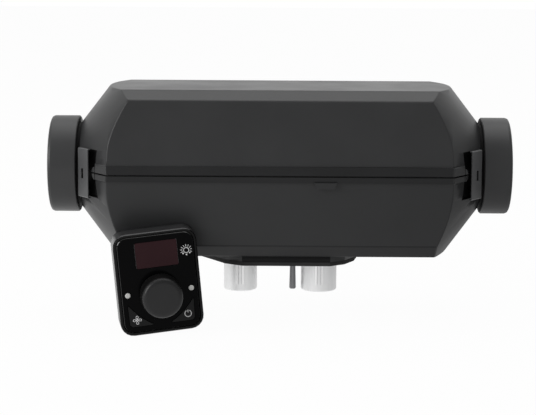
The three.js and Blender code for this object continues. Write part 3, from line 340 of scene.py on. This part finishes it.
def metal(name, tone, gloss=(0.2, 0.3), stretch=(1, 1, 1), grain=(900, 0.05)):
    """A bare metal. stretch draws the grain out along an axis, as brushing or drawing does."""
    material, tree, shader = new_material(name)
    shader.inputs["Metallic"].default_value = 1.0
    grained = add_grain(tree, shader, tone, grain[0], METAL_MOTTLE, gloss)
    tree.links.new(grained.outputs["Colour"], shader.inputs["Base Color"])
    coords = tree.nodes.new("ShaderNodeTexCoord")
    mapping = tree.nodes.new("ShaderNodeMapping")
    mapping.inputs["Scale"].default_value = stretch
    tree.links.new(coords.outputs["Object"], mapping.inputs["Vector"])
    streaks = tree.nodes.new("ShaderNodeTexNoise")
    streaks.inputs["Scale"].default_value = grain[0]
    streaks.inputs["Detail"].default_value = 3.0
    tree.links.new(mapping.outputs["Vector"], streaks.inputs["Vector"])
    add_bump(tree, shader, streaks.outputs["Fac"], grain[1])
    return material


FINISHES = {
    "shell": plastic(
        "shell_graphite", (0.032, 0.0324, 0.0332),
        gloss=(0.34, 0.42), grain=(2400, 0.05), dust=0.015, specular=0.28,
    ),
    "collar": plastic(
        "collar_graphite", (0.036, 0.0365, 0.0375), gloss=(0.36, 0.46), grain=(2000, 0.06), specular=0.35,
    ),
    "black_plastic": plastic("black_plastic", (0.012, 0.012, 0.013), gloss=(0.3, 0.42), grain=(2600, 0.05)),
    "gloss_black": plastic(
        "fascia_gloss_black", (0.0015, 0.0015, 0.0017), gloss=(0.1, 0.15), grain=(700, 0.01), specular=0.04,
    ),
    "display_glass": plastic(
        "display_glass", (0.034, 0.0145, 0.017), gloss=(0.08, 0.12), grain=(600, 0.01), specular=0.04,
    ),
    "white_plastic": plastic("indicator_lens", (0.62, 0.62, 0.6), gloss=(0.2, 0.3), grain=(900, 0.03)),
    "board": plastic("circuit_board", (0.02, 0.12, 0.06), gloss=(0.3, 0.4), grain=(1500, 0.1)),
    "rubber": plastic("black_rubber", (0.012, 0.012, 0.012), gloss=(0.7, 0.85), grain=(1600, 0.12)),
    "bright_pipe": metal("bright_pipe", (0.94, 0.943, 0.945), gloss=(0.48, 0.56), stretch=(1, 1, 0.05)),
    "casting": metal("cast_aluminium", (0.5, 0.5, 0.51), gloss=(0.45, 0.6), grain=(700, 0.35)),
    "steel": metal("bright_steel", (0.55, 0.56, 0.57), gloss=(0.25, 0.35)),
    "dark_steel": metal("dark_steel", (0.2, 0.2, 0.205), gloss=(0.3, 0.42)),
}
# A darker copy of the shell's graphite for the lower half, as painted shade.
LOWER_SHELL_PAINTED_SHADE = plastic(
    "lower_shell_graphite_painted_shade", (0.0268, 0.0272, 0.0279),
    gloss=(0.34, 0.42), grain=(2400, 0.05), dust=0.015, specular=0.25,
)
# A darker copy of the shell's graphite, as painted shade along the bead and on the sloping foot.
BEAD_PAINTED_SHADE = plastic(
    "bead_shaded_graphite", (0.017, 0.0172, 0.0178), gloss=(0.4, 0.5), grain=(2400, 0.05), specular=0.2,
)
CLIP_STEEL = plastic("clip_dark_steel", (0.07, 0.071, 0.073), gloss=(0.28, 0.36), grain=(1500, 0.05))
# The knob's cap is rougher than its side, and painted a little lighter than it, as painted light.
KNOB_CAP_PAINTED_LIGHT = plastic(
    "knob_cap_painted_light", (0.0085, 0.0085, 0.009), gloss=(0.35, 0.45), grain=(1800, 0.05), specular=0.34,
)
KNOB_SIDE_FINISH = plastic(
    "knob_side_black", (0.006, 0.006, 0.006), gloss=(0.26, 0.34), grain=(1800, 0.05), specular=0.45,
)
CASE_FINISH = plastic(
    "controller_case_black", (0.006, 0.006, 0.0065), gloss=(0.26, 0.34), grain=(2600, 0.04), specular=0.45,
)
# The case's rim: glossier than the rest of the case, and painted darker with a weaker reflection, as painted
# shade.
CASE_RIM_PAINTED_SHADE = plastic(
    "controller_rim_polished_painted_shade", (0.002, 0.002, 0.002), gloss=(0.1, 0.16), grain=(900, 0.01), specular=0.14,
)
# The case's upward faces are painted much lighter than the rest of the case, as painted light from above.
CASE_TOP_PAINTED_LIGHT = plastic(
    "controller_case_top_painted_light", (0.03, 0.03, 0.031), gloss=(0.3, 0.4), grain=(2600, 0.04), specular=0.5,
)
# The fascia's chamfered edge: the same gloss black made far more reflective and a little lighter, as a painted
# highlight line.
FASCIA_EDGE_PAINTED_HIGHLIGHT = plastic(
    "fascia_edge_painted_highlight", (0.004, 0.004, 0.004), gloss=(0.08, 0.12), grain=(900, 0.01), specular=0.9,
)
BUTTON_FINISH = plastic(
    "button_soft_black", (0.007, 0.007, 0.0072), gloss=(0.35, 0.45), grain=(2000, 0.05), specular=0.15,
)
# Near-black painted shade for the clip pockets, the lip above the parting line and the collars' neck rings.
SHADE_BLACK = plastic(
    "recess_painted_shade", (0.004, 0.004, 0.004), gloss=(0.6, 0.7), grain=(1600, 0.05), specular=0.15,
)
# Near-black painted shade for the upright front and back faces of the skirt.
SKIRT_PAINTED_SHADE = plastic(
    "skirt_painted_shade", (0.007, 0.007, 0.0073), gloss=(0.45, 0.55), grain=(1600, 0.06), specular=0.12,
)
# The pipes' ribs: a painted highlight on their crests and painted shade on their flanks.
RIB_PAINTED_HIGHLIGHT = metal("pipe_rib_crest_painted_highlight", (0.96, 0.96, 0.96), gloss=(0.3, 0.36))
RIB_PAINTED_SHADE = metal("pipe_rib_flank_painted_shade", (0.3, 0.3, 0.305), gloss=(0.4, 0.5))
SYMBOL_INK = plastic("symbol_white_print", (0.72, 0.72, 0.72), gloss=(0.3, 0.4), grain=(900, 0.02))


# ---------------------------------------------------------------- every CAD node has its finish

slot_of = {row["node"]: row["material_slot"] for row in frame["record"]["subparts"]}
for node, obj in nodes.items():
    dress(obj, FINISHES[slot_of[node]])


# ---------------------------------------------------------------- the heater's shell

CORNER_BEVEL = 0.7
SHELL_SMOOTH = 34  # degrees
ALONG_DUCT = 0.03  # a face of the sides leans less than this towards the duct axis
CONE_LEAN = (0.65, 0.87)  # and a face of the cone leans between these
CORNERS_BEYOND = 90  # mm from the middle of the heater


def shell_skin(node, name, finish):
    """The shell half with the corners between its facets and its end cones broken."""
    piece = merged_copy(node, name)
    mesh = piece.data
    sides = {}
    for face in mesh.polygons:
        for key in face.edge_keys:
            sides.setdefault(key, []).append(face)

    def cone_corner(line):
        pair = sides.get(tuple(sorted(line.vertices)), [])
        if len(pair) != 2:
            return False
        flat, cone = sorted(pair, key=lambda face: abs(face.normal.x))
        if abs(flat.normal.x) >= ALONG_DUCT or not CONE_LEAN[0] < abs(cone.normal.x) < CONE_LEAN[1]:
            return False
        middle = (mesh.vertices[line.vertices[0]].co + mesh.vertices[line.vertices[1]].co) / 2
        outward = flat.normal.y * middle.y + flat.normal.z * (middle.z - AXIS_HEIGHT)
        return outward > 0 and abs(middle.x) > CORNERS_BEYOND * MM

    choose(piece, edges=cone_corner)
    bpy.ops.mesh.bevel(offset=CORNER_BEVEL * MM, segments=2, affect="EDGES", clamp_overlap=False)
    leave()
    smooth(piece, SHELL_SMOOTH)
    place(piece, "heater", "shell", finish, node)
    return piece


def height_of(face):
    """In mm above the duct axis."""
    return (face.center.z - AXIS_HEIGHT) / MM


def between(value, limits):
    return limits[0] < value < limits[1]


def in_clip_pocket(face):
    """Whether a face lies inside one of the four pockets that the clips stand over."""
    x, y = abs(face.center.x) / MM, abs(face.center.y) / MM
    along = (END_X - x) * math.cos(CONE) + (y - END_R) * math.sin(CONE)
    out = (x - END_X) * math.sin(CONE) + (y - END_R) * math.cos(CONE)
    places = {"s": along, "n": out, "z": height_of(face)}
    return all(between(places[way], CLIP_POCKET[way]) for way in places)


def on_sealing_lip(face):
    """Whether a face of the lower half stands above the parting line."""
    return height_of(face) > SEALING_LIP_ABOVE


def on_long_side(face):
    return abs(face.normal.x) < LENGTHWISE


def on_bead(face):
    """Whether a face lies on the swelling that runs along the parting line of a long side."""
    outside = abs(face.center.y) > SHELL_SIDE * MM
    return between(height_of(face), BEAD_HEIGHTS) and outside and on_long_side(face)


def on_bilge(face):
    """Whether a face lies on the sloping foot of a long side, above the flat bottom."""
    return height_of(face) < BILGE_TOP and between(face.normal.z, BILGE_SLOPE) and on_long_side(face)


def on_skirt_front(face):
    """Whether a face stands upright at the front or the back of the skirt."""
    upright = abs(face.normal.y) > UPRIGHT
    outer = abs(face.center.y) > SKIRT_FRONT["beyond"] * MM
    return height_of(face) < SKIRT_FRONT["below"] and upright and outer


upper_skin = shell_skin("upper_shell", "upper_shell_skin", FINISHES["shell"])
# The lower half takes the darker copy of the graphite, as painted shade.
lower_skin = shell_skin("lower_shell", "lower_shell_skin", LOWER_SHELL_PAINTED_SHADE)
for skin in (upper_skin, lower_skin):
    # The bead is painted darker, as painted shade.
    paint(skin, BEAD_PAINTED_SHADE, on_bead)
    # The clip pockets are painted near-black, as painted shade.
    paint(skin, SHADE_BLACK, in_clip_pocket)
# The sloping foot of the lower half is painted darker too, as painted shade.
paint(lower_skin, BEAD_PAINTED_SHADE, on_bilge)
# The lip above the parting line is painted near-black, as painted shade in the gap.
paint(lower_skin, SHADE_BLACK, on_sealing_lip)
# The skirt's upright front and back faces are painted near-black, as painted shade.
paint(lower_skin, SKIRT_PAINTED_SHADE, on_skirt_front)


def carried_over(node, name, body, finish, bevel=0.0, segments=2, limit=40):
    """A CAD node with its triangles joined, its edges broken and its round faces shaded round.

    bevel is in mm, and it breaks the edges that turn by more than limit degrees.
    """
    piece = merged_copy(node, name)
    if bevel:
        apply_modifier(
            piece, "BEVEL", width=bevel * MM, segments=segments, limit_method="ANGLE",
            angle_limit=math.radians(limit), use_clamp_overlap=True,
        )
    smooth(piece)
    place(piece, body, slot_of[node], finish, node)
    return piece


def on_neck_ring(face):
    radius = math.hypot(face.center.y, face.center.z - AXIS_HEIGHT)
    return abs(face.center.x) < NECK_RING["within_x"] * MM and radius < NECK_RING["within_radius"] * MM


def on_rib(face, pipe, crest):
    """Whether a face is on the crest of one of a pipe's ribs, or else on a flank of one."""
    pipe_x, radius = PIPES[pipe]
    out = Vector((face.center.x - pipe_x * MM, face.center.y, 0))
    if out.length <= (radius + RIB_FOOT) * MM:
        return False
    outwardness = out.normalized() @ face.normal
    return outwardness > RIB_CREST if crest else abs(outwardness) < RIB_CREST


for end in ("inlet", "outlet"):
    collar = carried_over(end + "_collar", end + "_collar_turned", "heater", FINISHES["collar"])
    # The neck ring is painted near-black, as painted shade in the groove.
    paint(collar, SHADE_BLACK, on_neck_ring)
carried_over("inlet_grille", "inlet_grille_bars", "heater", FINISHES["black_plastic"], bevel=0.3)
carried_over("outlet_guard", "outlet_guard_bars", "heater", FINISHES["black_plastic"], bevel=0.3)
for end in ("front_left", "front_right", "rear_left", "rear_right"):
    carried_over("clip_" + end, "clip_" + end + "_spring", "clip_" + end, CLIP_STEEL, bevel=0.15)
carried_over("base_gasket", "base_gasket_rubber", "heater", FINISHES["rubber"])
for pipe in PIPES:
    tube = carried_over(pipe, pipe + "_tube", "heater", FINISHES["bright_pipe"])
    # Each rib gets a painted highlight on its crest and painted shade on its flanks.
    paint(tube, RIB_PAINTED_HIGHLIGHT, lambda face: on_rib(face, pipe, crest=True))
    paint(tube, RIB_PAINTED_SHADE, lambda face: on_rib(face, pipe, crest=False))
carried_over("fuel_spigot", "fuel_spigot_tube", "heater", FINISHES["dark_steel"])
carried_over("cable_grommet", "cable_grommet_rubber", "heater", FINISHES["rubber"])


# ---------------------------------------------------------------- the controller

def turn(degrees, axis):
    return Matrix.Rotation(math.radians(degrees), 4, axis)


# The controller's face: x to its right, y up, z out of it, and the origin in its middle
FACE_MIDDLE = (-78.50, -72.64, -67.86)  # in mm, with the height from the duct axis
FACE = (
    Matrix.Translation(Vector(FACE_MIDDLE) * MM) @ Matrix.Translation((0, 0, AXIS_HEIGHT))
    @ turn(10.5, "Z") @ turn(1, "X") @ turn(-5.6, "Y") @ turn(90, "X")
)
FACE_BACK = FACE.inverted()


def above_face(face):
    """How far a mesh's face is out of the controller's face, in mm."""
    return (FACE_BACK @ face.center).z / MM


def tilt(face):
    """The normal of a mesh's face in the frame of the controller's face."""
    return FACE_BACK.to_3x3() @ face.normal


case = carried_over(
    "controller_case", "controller_case_moulding", "controller", CASE_FINISH, bevel=0.2, limit=30,
)
# The rim is painted darker than the case, as painted shade.
paint(case, CASE_RIM_PAINTED_SHADE, lambda face: above_face(face) > CASE_RIM_ABOVE)
# The upward faces of the case are painted lighter, as painted light.
paint(case, CASE_TOP_PAINTED_LIGHT, lambda face: tilt(face).y > CASE_TOP_UPWARD)
fascia = carried_over(
    "controller_fascia", "controller_fascia_gloss", "controller", FINISHES["gloss_black"], bevel=0.22, limit=30,
)
# The fascia's sloping edge faces carry a painted highlight.
paint(fascia, FASCIA_EDGE_PAINTED_HIGHLIGHT, lambda face: between(tilt(face).z, FASCIA_EDGE_TILT))
carried_over("controller_back_cover", "controller_back_moulding", "controller", FINISHES["black_plastic"])
carried_over("display_window", "display_window_pane", "controller", FINISHES["display_glass"])
knob = carried_over(
    "control_knob", "control_knob_turned", "knob", KNOB_SIDE_FINISH, bevel=0.7, segments=3, limit=35,
)
# The cap is painted a little lighter than the knob's side, as painted light.
paint(knob, KNOB_CAP_PAINTED_LIGHT, lambda face: above_face(face) > KNOB_CAP_ABOVE)
for side in ("fan", "power"):
    carried_over(side + "_button", side + "_button_cap", side + "_button", BUTTON_FINISH, bevel=0.15)
for side in ("left", "right"):
    carried_over("indicator_" + side, "indicator_" + side + "_lens", "controller", FINISHES["white_plastic"])
carried_over("controller_socket", "controller_socket_moulding", "controller", FINISHES["black_plastic"])


# ---------------------------------------------------------------- printed symbols, in the frame of the face

INK_DEPTH = 0.05 * MM
INK_ON_FASCIA = 0.11  # how far out of the face the ink lies, in mm
INK_ON_BUTTON = 0.51


def flat_ring(centre, radius, width, stretch=(1, 1), angle=0.0, gap=0.0):
    """A thin printed ring or oval. gap leaves it open at the top by that many degrees each way."""
    deselect()
    bpy.ops.mesh.primitive_torus_add(
        major_segments=40, minor_segments=6, major_radius=radius * MM, minor_radius=width / 2 * MM,
    )
    piece = bpy.context.object
    if gap:
        limit = math.radians(gap)
        choose(piece, verts=lambda vert: abs(math.atan2(vert.co.x, vert.co.y)) < limit)
        bpy.ops.mesh.delete(type="VERT")
        bpy.ops.mesh.select_all(action="SELECT")
        bpy.ops.mesh.fill_holes(sides=0)
        leave()
    piece.scale = (*stretch, INK_DEPTH / (width * MM))
    piece.rotation_euler = (0, 0, math.radians(angle))
    piece.location = (*(Vector(centre) * MM), 0)
    settle(piece)
    return piece


def flat_bar(centre, length, width, angle=0.0):
    deselect()
    bpy.ops.mesh.primitive_cube_add(size=1)
    piece = bpy.context.object
    piece.scale = (length * MM, width * MM, INK_DEPTH)
    piece.rotation_euler = (0, 0, math.radians(angle))
    piece.location = (*(Vector(centre) * MM), 0)
    settle(piece)
    return piece


def print_symbol(name, strokes, at, height, body):
    """Joins the strokes and lays them on the controller's face."""
    deselect()
    for stroke in strokes:
        stroke.select_set(True)
    bpy.context.view_layer.objects.active = strokes[0]
    bpy.ops.object.join()
    symbol = bpy.context.object
    symbol.name = name
    symbol.matrix_world = FACE @ Matrix.Translation(Vector((*at, height)) * MM)
    settle(symbol)
    smooth(symbol, 40, weighted=False)
    place(symbol, body, "white_plastic", SYMBOL_INK)


def polar(radius, angle):
    turned = math.radians(angle)
    return radius * math.cos(turned), radius * math.sin(turned)


def spoke(angle, inner, outer, width):
    return flat_bar(polar((inner + outer) / 2, angle), outer - inner, width, angle)


sun = [flat_ring((0, 0), 1.7, 0.42)]
for step in range(9):
    sun.append(spoke(-20 + 27.5 * step, 2.45, 3.9, 0.36))
for angle in (222, 270, 318):
    sun.append(spoke(angle, 2.5, 3.4, 0.9))
print_symbol("symbol_sun", sun, (19.9, 19.1), INK_ON_FASCIA, "controller")

fan = [flat_ring((0, 0), 0.5, 0.5)]
for angle in (0, 90, 180, 270):
    fan.append(flat_ring(polar(1.85, angle), 0.85, 0.42, (1.05, 0.85), angle))
print_symbol("symbol_fan", fan, (-16.4, -23.3), INK_ON_BUTTON, "fan_button")

power = [flat_ring((0, 0), 2.15, 0.52, gap=26), flat_bar((0, 1.6), 1.8, 0.5, 90)]
print_symbol("symbol_power", power, (17.1, -23.1), INK_ON_BUTTON, "power_button")


# ---------------------------------------------------------------- floor, lamps and camera

def ray_kinds(tree):
    """Two masks: 1 for the rays of the camera and of clear surfaces, and 1 for the rays of glossy ones."""
    path = tree.nodes.new("ShaderNodeLightPath")
    seen = tree.nodes.new("ShaderNodeMath")
    seen.operation = "MAXIMUM"
    tree.links.new(path.outputs["Is Camera Ray"], seen.inputs[0])
    tree.links.new(path.outputs["Is Transmission Ray"], seen.inputs[1])
    return seen.outputs[0], path.outputs["Is Glossy Ray"]


def fade(tree, value, start_end, levels):
    """A node that goes from the first level to the second as the value passes from start to end."""
    ramp = tree.nodes.new("ShaderNodeMapRange")
    ramp.inputs["From Min"].default_value, ramp.inputs["From Max"].default_value = start_end
    ramp.inputs["To Min"].default_value, ramp.inputs["To Max"].default_value = levels
    tree.links.new(value, ramp.inputs["Value"])
    return ramp


def choice(tree, mask, otherwise, chosen):
    """The level chosen where the mask is 1, and otherwise the other one. Each is a number or a socket."""
    pick_level = tree.nodes.new("ShaderNodeMapRange")
    tree.links.new(mask, pick_level.inputs["Value"])
    for socket, level in (("To Min", otherwise), ("To Max", chosen)):
        if isinstance(level, float):
            pick_level.inputs[socket].default_value = level
        else:
            tree.links.new(level, pick_level.inputs[socket])
    return pick_level.outputs["Result"]


FLOOR_SIZE = 6
FLOOR_TONE = (0.8, 0.8, 0.8, 1)
FLOOR_SHARE = 0.97  # of the floor that is plain white, and the rest takes the shadow
FLOOR_RIGHT_LEVEL = 0.42  # of the floor that is mirrored at the right, where the picture is darker
FLOOR_FADE = (-0.03, 0.25)  # in metres along X, from the full level to the right one


def make_floor():
    deselect()
    bpy.ops.mesh.primitive_plane_add(size=FLOOR_SIZE, location=(0, 1.2, cad_box[0][2]))
    floor = bpy.context.object
    floor.name = "studio_floor"
    settle(floor)
    material = bpy.data.materials.new("pale_floor")
    material.use_nodes = True
    tree = material.node_tree
    tree.nodes.clear()
    output = tree.nodes.new("ShaderNodeOutputMaterial")
    matt = tree.nodes.new("ShaderNodeBsdfDiffuse")
    matt.inputs["Color"].default_value = FLOOR_TONE
    glow = tree.nodes.new("ShaderNodeEmission")
    coords = tree.nodes.new("ShaderNodeTexCoord")
    split = tree.nodes.new("ShaderNodeSeparateXYZ")
    tree.links.new(coords.outputs["Object"], split.inputs["Vector"])
    mirrored = fade(tree, split.outputs["X"], FLOOR_FADE, (1.0, FLOOR_RIGHT_LEVEL))
    seen, glossy = ray_kinds(tree)
    tree.links.new(choice(tree, glossy, 1.0, mirrored.outputs["Result"]), glow.inputs["Strength"])
    share = choice(tree, seen, choice(tree, glossy, 0.0, FLOOR_SHARE), FLOOR_SHARE)
    blend = tree.nodes.new("ShaderNodeMixShader")
    tree.links.new(share, blend.inputs["Fac"])
    tree.links.new(matt.outputs[0], blend.inputs[1])
    tree.links.new(glow.outputs[0], blend.inputs[2])
    tree.links.new(blend.outputs[0], output.inputs["Surface"])
    dress(floor, material)


FRONT_LEVEL = 0.48  # of the room that the object mirrors on the viewer's side
LIT_LEVEL = 0.4  # of the light that comes from all round
HEIGHT_WEIGHT = 0.35  # of a direction's height beside its depth, in what sets the mirrored level
ROOM_FADE = (0.28, 0.9)  # from the front level to white


def make_world():
    world = bpy.data.worlds.new("studio")
    bpy.context.scene.world = world
    world.use_nodes = True
    tree = world.node_tree
    background = tree.nodes["Background"]
    background.inputs["Color"].default_value = (1, 1, 1, 1)
    seen, glossy = ray_kinds(tree)
    coords = tree.nodes.new("ShaderNodeTexCoord")
    split = tree.nodes.new("ShaderNodeSeparateXYZ")
    tree.links.new(coords.outputs["Generated"], split.inputs["Vector"])
    lift = tree.nodes.new("ShaderNodeMath")
    lift.operation = "MULTIPLY_ADD"
    lift.inputs[1].default_value = HEIGHT_WEIGHT
    tree.links.new(split.outputs["Z"], lift.inputs[0])
    tree.links.new(split.outputs["Y"], lift.inputs[2])
    level = fade(tree, lift.outputs[0], ROOM_FADE, (FRONT_LEVEL, 1.0))
    level.interpolation_type = "SMOOTHSTEP"
    strength = choice(tree, seen, choice(tree, glossy, LIT_LEVEL, level.outputs["Result"]), 1.0)
    tree.links.new(strength, background.inputs["Strength"])


def make_lamp(name, place_mm, target_mm, size, power):
    lamp = bpy.data.lights.new(name, "AREA")
    lamp.shape = "RECTANGLE"
    lamp.size, lamp.size_y = size
    lamp.energy = power
    holder = bpy.data.objects.new(name, lamp)
    bpy.context.scene.collection.objects.link(holder)
    holder.location = Vector(place_mm) * MM
    holder.rotation_euler = (Vector(target_mm) - Vector(place_mm)).to_track_quat("-Z", "Y").to_euler()


PICTURE_WIDTH = 536  # in pixels, as the next two are
FOCAL_LENGTH = 1747
SHIFT = (-12, -43.2)
CAMERA_PLACE = (0, -1.1883, 0.2302)
CAMERA_PITCH = 82  # degrees, as the next one is
CAMERA_ROLL = 0.35


def make_camera():
    data = bpy.data.cameras.new("camera")
    data.sensor_width = 36
    data.lens = data.sensor_width * FOCAL_LENGTH / PICTURE_WIDTH
    data.shift_x, data.shift_y = SHIFT[0] / PICTURE_WIDTH, SHIFT[1] / PICTURE_WIDTH
    data.clip_start, data.clip_end = 0.05, 20
    camera = bpy.data.objects.new("camera", data)
    bpy.context.scene.collection.objects.link(camera)
    camera.location = CAMERA_PLACE
    camera.rotation_euler = (turn(CAMERA_PITCH, "X") @ turn(CAMERA_ROLL, "Z")).to_euler()
    bpy.context.scene.camera = camera


bpy.context.scene.view_settings.view_transform = "Standard"
make_floor()
make_world()
make_lamp("lamp_top", (0, 200, 1400), (0, 0, 60), (1.6, 1.2), 9)
make_lamp("lamp_front_left", (-1400, -900, 650), (0, 0, 40), (0.9, 0.9), 14)
make_camera()
